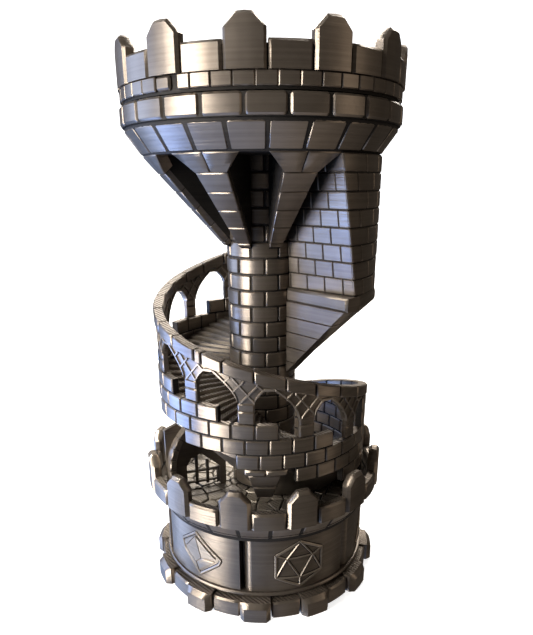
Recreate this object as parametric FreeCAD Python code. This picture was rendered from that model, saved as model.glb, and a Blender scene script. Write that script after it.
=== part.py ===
import FreeCAD, Part
import math
import os

# A round castle-shaped dice tower, in millimetres.
# +Z is up and the origin is the centre of the face it stands on.
# Azimuths are in degrees, counted from the front (-Y) towards the right (+X).
# Along the spiral ramp the azimuth runs on without wrapping: it falls as the azimuth grows.

# --- driving dimensions -------------------------------------------------------------
COURSE = 8.75              # height of one brick course
BLOCK = 15.0               # degrees taken by one block of a battlement or of the foot
PARAPET_GAP = 1.2          # degrees left open beside a low block of a battlement
PARAPET_SET_BACK = 0.4     # a low block's face behind the merlons' face
MERLON_INSET = 0.3         # degrees by which a merlon is narrower on each side
MERLON_TIP = 0.3           # width of a merlon's tip against its full width
MERLONS = 12               # merlons in the crown, and in the tray's battlement

FOOT_TOP = 11.5
FOOT_BIG_R = 72.0
FOOT_SMALL_R = 68.0
FOOT_SMALL_TOP = 10.2
FOOT_GAP = 0.6             # degrees left open between two foot blocks
FOOT_INNER_R = 60.0
FOOT_CENTRE = -4.3         # azimuth of one large foot block

PLINTH_TOP = 14.3
PLINTH_R = 64.3
DRUM_R = 63.0              # outside of the drawers
DECK_BOTTOM = 49.2
DECK_TOP = 54.0
TRAY_FLOOR = 57.0
TRAY_INNER_R = 66.7
TRAY_R = 73.0
TRAY_SILL = 62.0
TRAY_LOW = 71.5
TRAY_SHOULDER = 77.5
TRAY_TOP = 84.0
TRAY_CENTRE = -12.7        # azimuth of one tray merlon

DRAWERS = 6
DRAWER_NAMES = ("d20", "d4", "d6", "d12", "d8", "d10")
DRAWER_SEAM = -12.0        # azimuth of the left edge of the first drawer
DRAWER_GAP = 0.95          # from a seam to the drawer's side
DRAWER_BOTTOM = 14.7
DRAWER_TOP = 48.7
DRAWER_WALL = 2.0
DRAWER_CORNER = 5.2        # rounding of the hinged corner, centred on the pin
SWING_CLEARANCE = 0.15     # between a swinging drawer's inner corner and the divider
PIN_R = 2.0
PIN_CLEARANCE = 0.06
HUB_R = 10.8
DIVIDER = 1.2
DIVIDER_R = 55.0
EMBLEM_RAISE = 0.8
EMBLEM_Z = 31.5            # height of an emblem's middle
EMBLEM_FROM_SEAM = 31.0    # degrees from a drawer's seam to the middle of its emblem

COLUMN_R = 20.0
COLUMN_TOP = 252.5
SPIGOT_R = 9.0
SPIGOT_BOTTOM = 50.0
SPIGOT_CLEARANCE = 0.3

FALL = COURSE / 30.0       # the ramp falls one course in 30 degrees
RAMP_R = 58.0
WALL_R = 63.0
RAMP_START = -309.0
RAMP_STEP = 12.0
RAMP_STEPS = 40
RAMP_FLOOR = 105.8         # floor height at azimuth 0
SOFFIT_EDGE = 97.5         # height of the cone below the ramp, at WALL_R and azimuth 0
SOFFIT_MAX = 175.0
TOWER_BOTTOM = TRAY_FLOOR + 0.2

WALL_START = -225.0
WALL_END = 165.0
SOLID_FROM = 67.5          # from here on the spiral's wall is closed up to the handrail
SILL_STEP_AT = -22.4
SILL_Z = 119.0
WALL_FOOT_AT = -13.7
WALL_FOOT_Z = 92.75
CORBEL_CENTRE = 0.9
CORBEL_HALF = 10.4
RAIL_TOP = 147.0           # handrail height at azimuth 0
RAIL_HEIGHT = 6.5
RAIL_INNER_R = 57.5
RAIL_OUTER_R = 63.5
RAIL_STEP = 7.5
PILLAR_AT = -8.2
PILLAR_HALF = 4.0
PILLAR_INNER_R = 58.5
PILLAR_OUTER_R = 62.5

CHUTE_R = 64.0
CHUTE_INNER_R = 60.5
CHUTE_BOTTOM = 181.5
CHUTE_TOP = 249.0
CHUTE_END = 135.0
CHUTE_COURSES = 8
CHUTE_EDGE_LOW = 46.5      # azimuth of the side wall at its lowest course
CHUTE_LEAN = 1.5           # degrees that each course stands further left
SIDE_WALL = 4.5            # thickness of the side wall in degrees
LEDGE_BOTTOM = 174.0
LEDGE_R = 64.5
LEDGE_AT = 41.0
PORTAL_TOP = 207.0

HOPPER_R = 72.8
HOPPER_INNER_R = 66.0
HOPPER_RING_BOTTOM = 262.0
HOPPER_TOP = 272.0
CORBEL_CENTRES = (-25.5, 19.5, -70.5, -115.5, -160.5, 154.5)

CROWN_R = 73.0
CROWN_BAND_R = 72.0
CROWN_INNER_R = 66.5
CROWN_BAND_TOP = 279.0
CROWN_LOW = 290.0
CROWN_SHOULDER = 293.7
CROWN_TOP = 299.4
CROWN_CENTRE = -5.2

GATE_AZ = -71.5
GATE_BAR = 2.0
GATE_BAR_RADII = (30.5, 37.3, 44.1, 51.2)
GATE_INNER_R = 29.6
GATE_OUTER_R = 52.1
GATE_TOP = 80.5
GATE_INNER_TOP = 69.0      # the bar nearest the column is the shortest
GATE_SLOPE = 0.85          # rise of the bars' tops for each mm outwards
GATE_RUNGS = ((GATE_INNER_R, 59.0), (GATE_INNER_R, 66.5), (43.2, 76.5))
GATE_WALL_AT = -68.5
GATE_WALL_SWEEP = 2.5

FUNNEL_TILT = 12.0
FUNNEL_TOWARD = 88.0       # azimuth that the funnel's floor falls towards
FUNNEL_LEVEL = 257.0
FUNNEL_R = 60.4

Z = FreeCAD.Vector(0, 0, 1)
ORIGIN = FreeCAD.Vector(0, 0, 0)


# --- shape helpers ------------------------------------------------------------------
def polar(radius, azimuth, height):
    turn = math.radians(azimuth)
    return FreeCAD.Vector(radius * math.sin(turn), -radius * math.cos(turn), height)


def turned(profile, start=0.0, sweep=360.0):
    """Solid made by turning a closed outline of (radius, height) points about Z."""
    points = [polar(r, start, h) for r, h in profile]
    face = Part.Face(Part.makePolygon(points + points[:1]))
    return face.revolve(ORIGIN, Z, sweep)


def sector(inner, outer, low, high, start=0.0, sweep=360.0):
    return turned(((inner, low), (outer, low), (outer, high), (inner, high)), start, sweep)


def cylinder(radius, low, high, centre=ORIGIN):
    base = FreeCAD.Vector(centre.x, centre.y, low)
    return Part.makeCylinder(radius, high - low, base)


def joined(shapes):
    shapes = list(shapes)
    if len(shapes) == 1:
        return shapes[0]
    return shapes[0].multiFuse(shapes[1:]).removeSplitter()


def plate(outline, azimuth, start, depth):
    """Flat piece facing outwards: (across, height) points, from radius start, depth thick."""
    points = [FreeCAD.Vector(across, -start, h) for across, h in outline]
    face = Part.Face(Part.makePolygon(points + points[:1]))
    solid = face.extrude(FreeCAD.Vector(0, -depth, 0))
    solid.rotate(ORIGIN, Z, azimuth)
    return solid


def curved_plate(outline, azimuth, inner, outer):
    """A plate whose inside and outside follow two cylinders about Z."""
    lowest = min(h for _, h in outline)
    highest = max(h for _, h in outline)
    blank = plate(outline, azimuth, inner - 8.0, outer - inner + 16.0)
    return blank.common(sector(inner, outer, lowest - 1.0, highest + 1.0, azimuth - 45.0, 90.0))


def save(name, *solids):
    shape = solids[0] if len(solids) == 1 else Part.makeCompound(list(solids))
    shape.exportStep("parts/" + name + ".step")


# --- heights along the spiral -------------------------------------------------------
def floor_height(azimuth):
    return RAMP_FLOOR - FALL * azimuth


def soffit_height(azimuth, radius):
    """Underside of the ramp: a 45 degree cone that follows the spiral."""
    edge = min(SOFFIT_MAX, SOFFIT_EDGE - FALL * azimuth)
    return max(TOWER_BOTTOM, edge - (WALL_R - radius))


def rail_top(azimuth):
    return RAIL_TOP - FALL * azimuth


def rail_step_top(azimuth):
    """Top of the handrail's own step that the azimuth lies in."""
    index = math.floor((azimuth - WALL_START) / RAIL_STEP)
    return rail_top(WALL_START + RAIL_STEP * (index + 0.5))


def stepped(azimuth, at, height):
    """Height of a stair of whole courses that falls by one course every 30 degrees."""
    return height - COURSE * math.floor((azimuth - at) / 30.0)


# --- foot, plinth and drawers -------------------------------------------------------
def block_ring(centre, width, inner, outer, low, high):
    first = centre - width / 2.0
    pitch = 360.0 / MERLONS
    return [sector(inner, outer, low, high, first + pitch * i, width) for i in range(MERLONS)]


def make_foot():
    large = block_ring(FOOT_CENTRE, BLOCK - FOOT_GAP, FOOT_INNER_R, FOOT_BIG_R, 0.0, FOOT_TOP)
    small = block_ring(FOOT_CENTRE + BLOCK, BLOCK - FOOT_GAP, FOOT_INNER_R, FOOT_SMALL_R, 0.0,
                       FOOT_SMALL_TOP)
    save("foot_large_blocks", *large)
    save("foot_small_blocks", *small)
    save("base_plate", cylinder(FOOT_INNER_R, 0.0, FOOT_TOP))
    save("drum_plinth", cylinder(PLINTH_R, FOOT_TOP, PLINTH_TOP))


def pin_centre(seam):
    inset = DRAWER_CORNER + DRAWER_GAP
    radius = DRUM_R - DRAWER_CORNER
    return polar(radius, seam + math.degrees(math.asin(inset / radius)), 0.0)


def drawer_plan(inset, low, high):
    """Plan of the drawer that starts at azimuth 0, drawn in by inset, between two heights."""
    pin = pin_centre(0.0)
    outer = DRUM_R - inset
    side = DRAWER_GAP + inset
    blank = sector(6.0, outer, low, high, 0.0, 60.0)
    left = Part.makeBox(side + 10.0, 80.0, high - low, FreeCAD.Vector(-10.0, -80.0, low))
    right = Part.makeBox(side + 10.0, 80.0, high - low, FreeCAD.Vector(-side, -80.0, low))
    right.rotate(ORIGIN, Z, 60.0)
    swing = pin_to_right_side(pin) - inset
    reach = cylinder(swing, low, high, pin)
    corner = FreeCAD.Vector(-100.0, -100.0 - foot_radius(pin), low)
    foot = Part.makeBox(200.0, 100.0, high - low, corner)
    foot.rotate(ORIGIN, Z, 60.0)
    return blank.cut(left).cut(right).common(reach.fuse(foot))


def angle_to_right_side(pin):
    """Angle at the axis between the pin and the drawer's right side, in radians."""
    return math.radians(60.0) - math.atan2(pin.x, -pin.y)


def pin_to_right_side(pin):
    across = math.hypot(pin.x, pin.y) * math.sin(angle_to_right_side(pin))
    return across - DRAWER_GAP - SWING_CLEARANCE


def foot_radius(pin):
    return math.hypot(pin.x, pin.y) * math.cos(angle_to_right_side(pin))


def drawer_body():
    """Bin of one drawer with its left corner rounded about the pin it swings on."""
    pin = pin_centre(0.0)
    body = drawer_plan(0.0, DRAWER_BOTTOM, DRAWER_TOP)
    square = Part.makeBox(30.0, 40.0, 60.0, FreeCAD.Vector(-30.0 + pin.x, -40.0 + pin.y, 0.0))
    rounded = cylinder(DRAWER_CORNER, DRAWER_BOTTOM, DRAWER_TOP, pin)
    corner = body.common(square).common(rounded)
    body = body.cut(square).fuse(corner)
    inside = drawer_plan(DRAWER_WALL, DRAWER_BOTTOM + DRAWER_WALL, DRAWER_TOP + 1.0)
    body = body.cut(inside.cut(rounded))
    return body.cut(cylinder(PIN_R + PIN_CLEARANCE, 0.0, 60.0, pin)).removeSplitter()


def ring_of_points(count, across, up, turn=0.0):
    steps = [math.radians(turn + 360.0 * i / count) for i in range(count)]
    return [(across * math.sin(s), EMBLEM_Z + up * math.cos(s)) for s in steps]


EMBLEMS = {
    "d20": ring_of_points(6, 14.5, 15.0),
    "d4": ring_of_points(3, 15.0, 14.0),
    "d6": ring_of_points(4, 15.0, 15.0, 45.0),
    "d12": ring_of_points(10, 14.5, 14.5),
    "d8": ring_of_points(4, 12.0, 15.0),
    "d10": ring_of_points(6, 12.0, 15.0),
}


def make_drawers():
    body = drawer_body()
    pins = []
    dividers = []
    for i in range(DRAWERS):
        seam = DRAWER_SEAM + 60.0 * i
        name = DRAWER_NAMES[i]
        copy = body.copy()
        copy.rotate(ORIGIN, Z, seam)
        save("drawer_" + name, copy)
        emblem = curved_plate(EMBLEMS[name], seam + EMBLEM_FROM_SEAM, DRUM_R,
                              DRUM_R + EMBLEM_RAISE)
        save("emblem_" + name, emblem)
        pins.append(cylinder(PIN_R, PLINTH_TOP, DECK_BOTTOM, pin_centre(seam)))
        wall = Part.makeBox(DIVIDER, DIVIDER_R - HUB_R + 0.2, DECK_BOTTOM - PLINTH_TOP,
                            FreeCAD.Vector(-DIVIDER / 2.0, -DIVIDER_R, PLINTH_TOP))
        wall.rotate(ORIGIN, Z, seam)
        dividers.append(wall.cut(cylinder(HUB_R, 0.0, 60.0)))
    save("pivot_pins", *pins)
    save("drum_dividers", *dividers)
    save("hub_post", cylinder(HUB_R, PLINTH_TOP, DECK_BOTTOM))


# --- tray ---------------------------------------------------------------------------
def merlon(centre, inner, outer, low, shoulder, top):
    half = outer * math.tan(math.radians(BLOCK / 2.0 - MERLON_INSET))
    tip = half * MERLON_TIP
    outline = ((-half, low), (half, low), (half, shoulder), (tip, top), (-tip, top), (-half, shoulder))
    return curved_plate(outline, centre, inner, outer)


def battlement(prefix, centre, inner, outer, low, parapet, shoulder, top):
    pitch = 360.0 / MERLONS
    tall = [merlon(centre + pitch * i, inner, outer, low, shoulder, top) for i in range(MERLONS)]
    short = block_ring(centre + BLOCK, BLOCK - PARAPET_GAP, inner, outer - PARAPET_SET_BACK, low,
                       parapet)
    save(prefix + "_merlons", *tall)
    save(prefix + "_parapet_blocks", *short)


def make_tray():
    socket = cylinder(SPIGOT_R + SPIGOT_CLEARANCE, 40.0, 70.0)
    deck = cylinder(FOOT_INNER_R, DECK_BOTTOM, DECK_TOP).cut(socket)
    stones = cylinder(TRAY_INNER_R, DECK_TOP, TRAY_FLOOR).cut(socket)
    corbel = turned(((FOOT_INNER_R, DECK_BOTTOM), (64.5, DECK_BOTTOM), (66.5, 52.0), (70.5, 59.0),
                     (71.7, TRAY_SILL), (TRAY_INNER_R, TRAY_SILL), (TRAY_INNER_R, DECK_TOP),
                     (FOOT_INNER_R, DECK_TOP)))
    save("tray_deck", deck)
    save("tray_flagstones", stones)
    save("tray_corbel_ring", corbel)
    battlement("tray", TRAY_CENTRE, TRAY_INNER_R, TRAY_R, TRAY_SILL, TRAY_LOW, TRAY_SHOULDER, TRAY_TOP)


def arch_rib():
    """Stone rib at the mouth of the gate passage: a jamb that bends inwards under the ramp."""
    centre_r = 29.5
    spring = 76.0
    end = 48.0
    start = -66.0

    def on_arc(radius, angle):
        bend = math.radians(angle)
        return polar(centre_r + radius * math.cos(bend), start, spring + radius * math.sin(bend))

    inner = 30.0
    outer = 34.0
    low_out = polar(centre_r + outer, start, TRAY_FLOOR)
    low_in = polar(centre_r + inner, start, TRAY_FLOOR)
    edges = [
        Part.LineSegment(low_in, low_out),
        Part.LineSegment(low_out, on_arc(outer, 0.0)),
        Part.Arc(on_arc(outer, 0.0), on_arc(outer, end / 2.0), on_arc(outer, end)),
        Part.LineSegment(on_arc(outer, end), on_arc(inner, end)),
        Part.Arc(on_arc(inner, end), on_arc(inner, end / 2.0), on_arc(inner, 0.0)),
        Part.LineSegment(on_arc(inner, 0.0), low_in),
    ]
    face = Part.Face(Part.Wire([edge.toShape() for edge in edges]))
    return face.revolve(ORIGIN, Z, 6.0)


def gate_bar(inner, outer, low, high):
    bar = Part.makeBox(GATE_BAR, outer - inner, high - low,
                       FreeCAD.Vector(-GATE_BAR / 2.0, -outer, low))
    bar.rotate(ORIGIN, Z, GATE_AZ)
    return bar


def make_gate():
    wall = turned(((26.0, TRAY_FLOOR), (63.5, TRAY_FLOOR), (63.5, 100.0), (56.0, 103.0), (26.0, 74.5)),
                  GATE_WALL_AT, GATE_WALL_SWEEP)
    mouth = turned(((30.0, 50.0), (52.0, 50.0), (52.0, 73.0), (48.0, 79.0), (42.0, 81.0), (30.0, 70.0)),
                   GATE_WALL_AT - 1.5, GATE_WALL_SWEEP + 3.5)
    save("gate_wall", wall.cut(mouth))
    save("gate_arch", arch_rib())
    guide_outer = sector(53.0, 56.0, TRAY_FLOOR, 98.0, -74.5, 6.0)
    guide_inner = sector(26.0, 29.0, TRAY_FLOOR, 74.0, -76.5, 8.0)
    save("gate_guides", guide_outer, guide_inner)
    low = TRAY_FLOOR + 0.4
    bars = []
    for r in GATE_BAR_RADII:
        top = min(GATE_TOP, GATE_INNER_TOP + (r - GATE_BAR_RADII[0]) * GATE_SLOPE)
        bars.append(gate_bar(r - GATE_BAR / 2.0, r + GATE_BAR / 2.0, low, top))
    for start, height in GATE_RUNGS:
        bars.append(gate_bar(start, GATE_OUTER_R, height, height + GATE_BAR))
    save("portcullis", joined(bars))


# --- tower: column, ramp, spiral wall, arcade and handrail ---------------------------
def ramp_step(index):
    start = RAMP_START + RAMP_STEP * index
    end = start + RAMP_STEP
    top = floor_height(start + RAMP_STEP / 2.0)
    outer_low = soffit_height(end, RAMP_R)
    inner_low = soffit_height(end, COLUMN_R)
    outline = [(COLUMN_R, inner_low), (RAMP_R, outer_low), (RAMP_R, top), (COLUMN_R, top)]
    if inner_low == TOWER_BOTTOM and outer_low > TOWER_BOTTOM:
        edge = SOFFIT_EDGE - FALL * end
        outline.insert(1, (WALL_R - (edge - TOWER_BOTTOM), TOWER_BOTTOM))
    return turned(outline, start, RAMP_STEP)


def make_ramp():
    steps = [ramp_step(i) for i in range(RAMP_STEPS)]
    end_block = turned(((COLUMN_R, LEDGE_BOTTOM - 42.0), (WALL_R - 1.0, LEDGE_BOTTOM),
                        (COLUMN_R, LEDGE_BOTTOM)), LEDGE_AT + 1.0, 9.0)
    save("ramp_upper", joined([end_block] + steps[:13]))
    save("ramp_middle", joined(steps[13:27]))
    save("ramp_lower", joined(steps[27:]))
    column = cylinder(COLUMN_R, TRAY_FLOOR, COLUMN_TOP)
    save("column", column)
    save("column_spigot", cylinder(SPIGOT_R, SPIGOT_BOTTOM, TRAY_FLOOR))


def wall_breaks():
    """Azimuths at which the spiral wall's top or foot steps down."""
    sills = {SILL_STEP_AT + 30.0 * i for i in range(-8, 4)}
    feet = {WALL_FOOT_AT + 30.0 * i for i in range(-8, 7)}
    closed = {SOLID_FROM + RAIL_STEP * i for i in range(14)}
    arcaded = {b for b in sills | feet | {WALL_START} if WALL_START <= b <= SOLID_FROM}
    walled = {b for b in feet | closed if SOLID_FROM <= b <= WALL_END}
    return sorted(arcaded | walled)


def wall_pieces(first, last):
    breaks = [b for b in wall_breaks() if first <= b <= last]
    pieces = []
    for start, end in zip(breaks, breaks[1:]):
        middle = (start + end) / 2.0
        low = max(TOWER_BOTTOM, stepped(middle, WALL_FOOT_AT, WALL_FOOT_Z))
        high = stepped(middle, SILL_STEP_AT, SILL_Z)
        if middle > SOLID_FROM:
            high = rail_step_top(middle) - RAIL_HEIGHT
        pieces.append(sector(RAMP_R, WALL_R, low, high, start, end - start))
    return pieces


def make_spiral_wall():
    upper_end = SILL_STEP_AT - 90.0
    save("spiral_wall_upper", joined(wall_pieces(WALL_START, upper_end)))
    save("spiral_wall_middle", joined(wall_pieces(upper_end, SOLID_FROM)))
    save("spiral_wall_lower", joined(wall_pieces(SOLID_FROM, WALL_END)))
    corbel = joined([
        turned(((50.0, 89.0), (61.5, 89.0), (WALL_R, WALL_FOOT_Z), (50.0, WALL_FOOT_Z)),
               CORBEL_CENTRE - CORBEL_HALF, 2.0 * CORBEL_HALF),
        turned(((48.0, 81.0), (59.3, 81.0), (61.5, 89.0), (48.0, 89.0)),
               CORBEL_CENTRE - 8.3, 16.6),
        turned(((54.0, 73.0), (57.0, 73.0), (59.3, 81.0), (46.5, 81.0)),
               CORBEL_CENTRE - 5.6, 11.2),
    ])
    covered = joined([ramp_step(i) for i in range(23, 29)])
    save("wall_corbel", corbel.cut(covered))


def make_handrail():
    rail = []
    for i in range(int(round((WALL_END - WALL_START) / RAIL_STEP))):
        start = WALL_START + RAIL_STEP * i
        high = rail_step_top(start + RAIL_STEP / 2.0)
        rail.append(sector(RAIL_INNER_R, RAIL_OUTER_R, high - RAIL_HEIGHT, high, start, RAIL_STEP))
    half = len(rail) // 2
    save("handrail_upper", joined(rail[:half]))
    save("handrail_lower", joined(rail[half:]))


def make_arcade():
    pillars = []
    for i in range(-6, 3):
        centre = PILLAR_AT + 30.0 * i
        low = stepped(centre, SILL_STEP_AT, SILL_Z)
        shaft_top = rail_top(centre + PILLAR_HALF) - RAIL_HEIGHT - 1.2
        parts = [sector(PILLAR_INNER_R, PILLAR_OUTER_R, low, shaft_top,
                        centre - PILLAR_HALF, 2.0 * PILLAR_HALF)]
        for reach, drop in ((7.5, 9.0), (11.0, 5.0)):
            for side in (-1.0, 1.0):
                start = centre if side > 0 else centre - reach
                high = rail_top(centre + side * reach) - RAIL_HEIGHT - (1.2 if side > 0 else 3.4)
                parts.append(sector(PILLAR_INNER_R, PILLAR_OUTER_R, high - drop, high, start, reach))
        pillars.append(joined(parts))
    save("arcade_pillars", *pillars)


# --- chute, hopper and crown --------------------------------------------------------
def make_chute():
    height = (CHUTE_TOP - CHUTE_BOTTOM) / CHUTE_COURSES
    side = []
    shell = []
    for i in range(CHUTE_COURSES):
        low = CHUTE_BOTTOM + height * i
        edge = CHUTE_EDGE_LOW - CHUTE_LEAN * i
        side.append(sector(COLUMN_R, CHUTE_INNER_R, low, low + height, edge, SIDE_WALL))
        shell.append(sector(CHUTE_INNER_R, CHUTE_R, low, low + height, edge, CHUTE_END - edge))
    save("chute_side_wall", joined(side))
    save("chute_outer_wall", joined(shell))
    save("chute_portal", sector(COLUMN_R, CHUTE_INNER_R, PORTAL_TOP, CHUTE_TOP, CHUTE_END - 3.0, 3.0))
    ring = turned(((RAMP_R, 169.6), (62.4, LEDGE_BOTTOM), (LEDGE_R, LEDGE_BOTTOM + 2.0),
                   (LEDGE_R, CHUTE_BOTTOM - 2.0), (CHUTE_R, CHUTE_BOTTOM), (RAMP_R, CHUTE_BOTTOM)),
                  LEDGE_AT + 10.0, CHUTE_END - LEDGE_AT - 10.0)
    front = sector(COLUMN_R, LEDGE_R, LEDGE_BOTTOM, CHUTE_BOTTOM, LEDGE_AT, 10.0)
    save("chute_ledge", joined([ring, front]))


def make_corbels():
    brackets = []
    for centre in CORBEL_CENTRES:
        arm = turned(((COLUMN_R, 202.5), (21.5, 203.4), (62.9, CHUTE_TOP), (COLUMN_R, CHUTE_TOP)),
                     centre - 9.0, 18.0)
        flare = turned(((54.8, 240.0), (62.9, CHUTE_TOP), (54.8, CHUTE_TOP)), centre - 12.5, 25.0)
        lip = turned(((58.8, 244.5), (62.9, CHUTE_TOP), (58.8, CHUTE_TOP)), centre - 16.4, 32.8)
        brackets.append(joined([arm, flare, lip]))
    save("hopper_corbels", *brackets)


def make_hopper():
    bowl = turned(((COLUMN_R, CHUTE_TOP), (62.9, CHUTE_TOP), (71.5, 260.0), (71.5, HOPPER_RING_BOTTOM),
                   (HOPPER_INNER_R, HOPPER_RING_BOTTOM), (60.5, 254.0), (60.5, COLUMN_TOP),
                   (COLUMN_R, COLUMN_TOP)))
    throat = sector(COLUMN_R + 3.0, 58.5, 240.0, 280.0, 54.0, 76.0)
    save("hopper_bowl", bowl.cut(throat))
    save("hopper_ring", sector(HOPPER_INNER_R, HOPPER_R, HOPPER_RING_BOTTOM, HOPPER_TOP))
    funnel = cylinder(FUNNEL_R, COLUMN_TOP, HOPPER_TOP - 4.0)
    above = Part.makeBox(200.0, 200.0, 60.0, FreeCAD.Vector(-100.0, -100.0, 0.0))
    above.rotate(ORIGIN, FreeCAD.Vector(1, 0, 0), -FUNNEL_TILT)
    above.translate(FreeCAD.Vector(0, 0, FUNNEL_LEVEL))
    above.rotate(ORIGIN, Z, -FUNNEL_TOWARD)
    save("hopper_funnel", funnel.cut(above))


def make_crown():
    save("crown_band", sector(HOPPER_INNER_R, CROWN_BAND_R, HOPPER_TOP, CROWN_BAND_TOP))
    save("crown_spigot", sector(62.7, 65.7, 265.0, HOPPER_TOP + 4.0))
    battlement("crown", CROWN_CENTRE, CROWN_INNER_R, CROWN_R, CROWN_BAND_TOP, CROWN_LOW,
               CROWN_SHOULDER, CROWN_TOP)


os.makedirs("parts", exist_ok=True)
make_foot()
make_drawers()
make_tray()
make_gate()
make_ramp()
make_spiral_wall()
make_handrail()
make_arcade()
make_chute()
make_corbels()
make_hopper()
make_crown()
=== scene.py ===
import math
import random
from contextlib import contextmanager

import bmesh
import bpy
from mathutils import Matrix, Vector


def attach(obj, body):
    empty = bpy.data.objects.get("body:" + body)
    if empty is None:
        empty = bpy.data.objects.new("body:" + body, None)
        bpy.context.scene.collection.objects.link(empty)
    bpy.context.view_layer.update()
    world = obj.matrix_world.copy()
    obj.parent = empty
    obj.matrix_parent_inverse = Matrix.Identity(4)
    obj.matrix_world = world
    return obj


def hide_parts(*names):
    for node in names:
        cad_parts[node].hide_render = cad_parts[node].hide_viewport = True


# Castle dice tower, 3-D printed in a pewter-like silk filament.
# Shapes are worked out in millimetres. Azimuths are in degrees from the front (-Y) towards the
# right (+X). Along the spiral ramp the azimuth runs on without wrapping and the ramp falls.

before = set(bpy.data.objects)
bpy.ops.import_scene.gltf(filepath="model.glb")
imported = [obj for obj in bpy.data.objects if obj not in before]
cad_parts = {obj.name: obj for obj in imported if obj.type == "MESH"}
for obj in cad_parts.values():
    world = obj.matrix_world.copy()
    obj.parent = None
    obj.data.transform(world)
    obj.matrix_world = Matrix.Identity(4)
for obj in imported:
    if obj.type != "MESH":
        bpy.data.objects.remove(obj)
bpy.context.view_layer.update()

MM = 0.001
COURSE = 8.75              # height of one brick course
STAIR = 30.0               # degrees in which the ramp falls by one course
FALL = COURSE / STAIR
BLOCKS = 12                # merlons in a battlement, and large blocks in the foot
PITCH = 360.0 / BLOCKS
RING_STONES = 24           # stones in a full ring
RING_PITCH = 360.0 / RING_STONES
FOOT_CENTRE = -4.3         # azimuth of one large foot block
TRAY_CENTRE = -12.7        # azimuth of one tray merlon
CROWN_CENTRE = -5.2        # azimuth of one crown merlon

DRUM_R = 63.0
TRAY_FLOOR = 57.0
TOWER_FOOT = 57.2          # lowest height of the tower section
COLUMN_R = 20.0
COLUMN_TOP = 252.4

RAMP_FLOOR = 105.8         # heights along the spiral, at azimuth 0
SOFFIT_EDGE = 97.5
RAIL_TOP = 147.0
SOFFIT_MAX = 175.0
SILL_Z = 119.0             # the wall's top steps down every 30 degrees, and so does its foot
SILL_STEP_AT = -22.4
WALL_FOOT_Z = 92.75
WALL_FOOT_AT = -13.7
WALL_FROM = -225.0
WALL_TO = 165.0
UPPER_TO = -112.4          # where the wall's upper third ends
CLOSED_FROM = 67.5         # from here on the wall is closed up to the handrail
PILLAR_AT = -8.2

CHUTE_LOW = 181.5
CHUTE_HIGH = 249.0
CHUTE_COURSES = 8
CHUTE_END = 135.0          # azimuth of the chute's right edge
CORBEL_LOW = 203.4
CORBEL_CENTRES = (-25.5, 19.5, -70.5, -115.5, -160.5, 154.5)

GATE_AZIMUTH = -71.5
EMBLEM_Z = 31.5            # height of an emblem's middle
ARC = 1.1                  # millimetres in one degree on the drum
SHARP = math.radians(38.0)     # smooth shading stops at edges sharper than this

rng = random.Random(11)


# --- mesh building ------------------------------------------------------------------
def polar(radius, azimuth, height):
    turn = math.radians(azimuth)
    return (radius * math.sin(turn) * MM, -radius * math.cos(turn) * MM, height * MM)


def middle_of(outline):
    return [sum(along) / len(outline) for along in zip(*outline)]


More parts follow.
